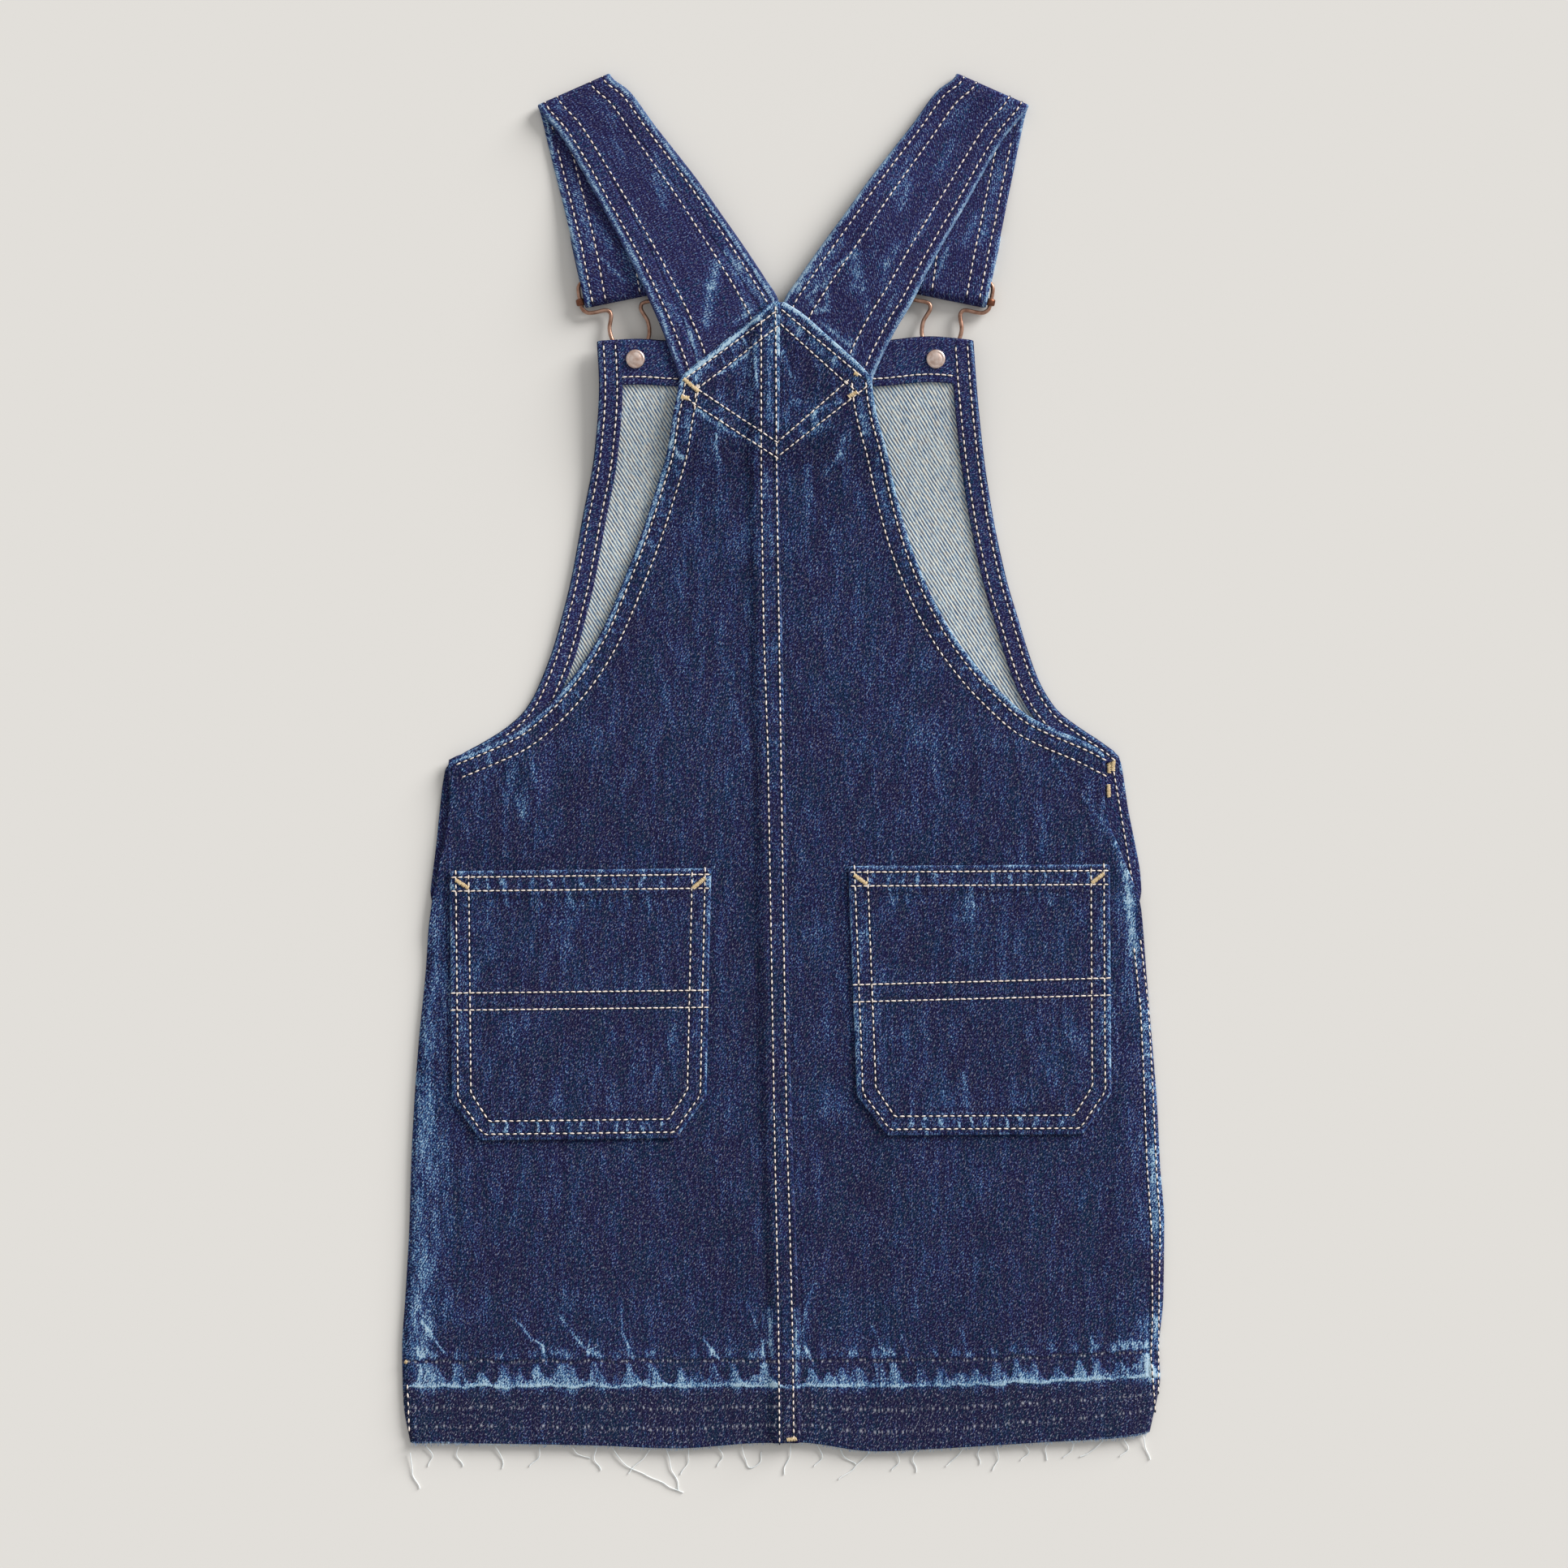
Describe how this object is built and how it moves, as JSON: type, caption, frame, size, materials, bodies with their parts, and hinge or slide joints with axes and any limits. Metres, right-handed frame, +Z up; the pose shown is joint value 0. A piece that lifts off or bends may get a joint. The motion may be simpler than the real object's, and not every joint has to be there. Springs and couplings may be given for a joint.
{
  "type": "pinafore dress",
  "caption": "Child's denim pinafore dress with dungaree straps and wire buckles, laid flat with its back uppermost.",
  "frame": {"origin": "under the middle of the laid-out dress, on the surface that it lies on", "axes": "+Z up out of the surface, +Y from the hem towards the straps, +X to the right of someone looking down on the dress's back"},
  "size_m": [0.3756, 0.6782, 0.0124],
  "materials": {
    "denim": "washed indigo twill, dark side out",
    "denim_inside": "pale reverse side of the twill",
    "copper": "antique copper plating"
  },
  "bodies": {
    "root": {"front": "denim_inside", "bib_facing": "denim", "armhole_hem_left": "denim", "armhole_hem_right": "denim", "back_left": "denim", "back_right": "denim", "pocket_left": "denim", "pocket_right": "denim", "strap_left": "denim", "strap_right": "denim", "buckle_left": "copper", "buckle_right": "copper", "buckle_bar_left": "copper", "buckle_bar_right": "copper", "button_left": "copper", "button_right": "copper", "rivet_left": "copper", "rivet_right": "copper"}
  },
  "joints": []
}
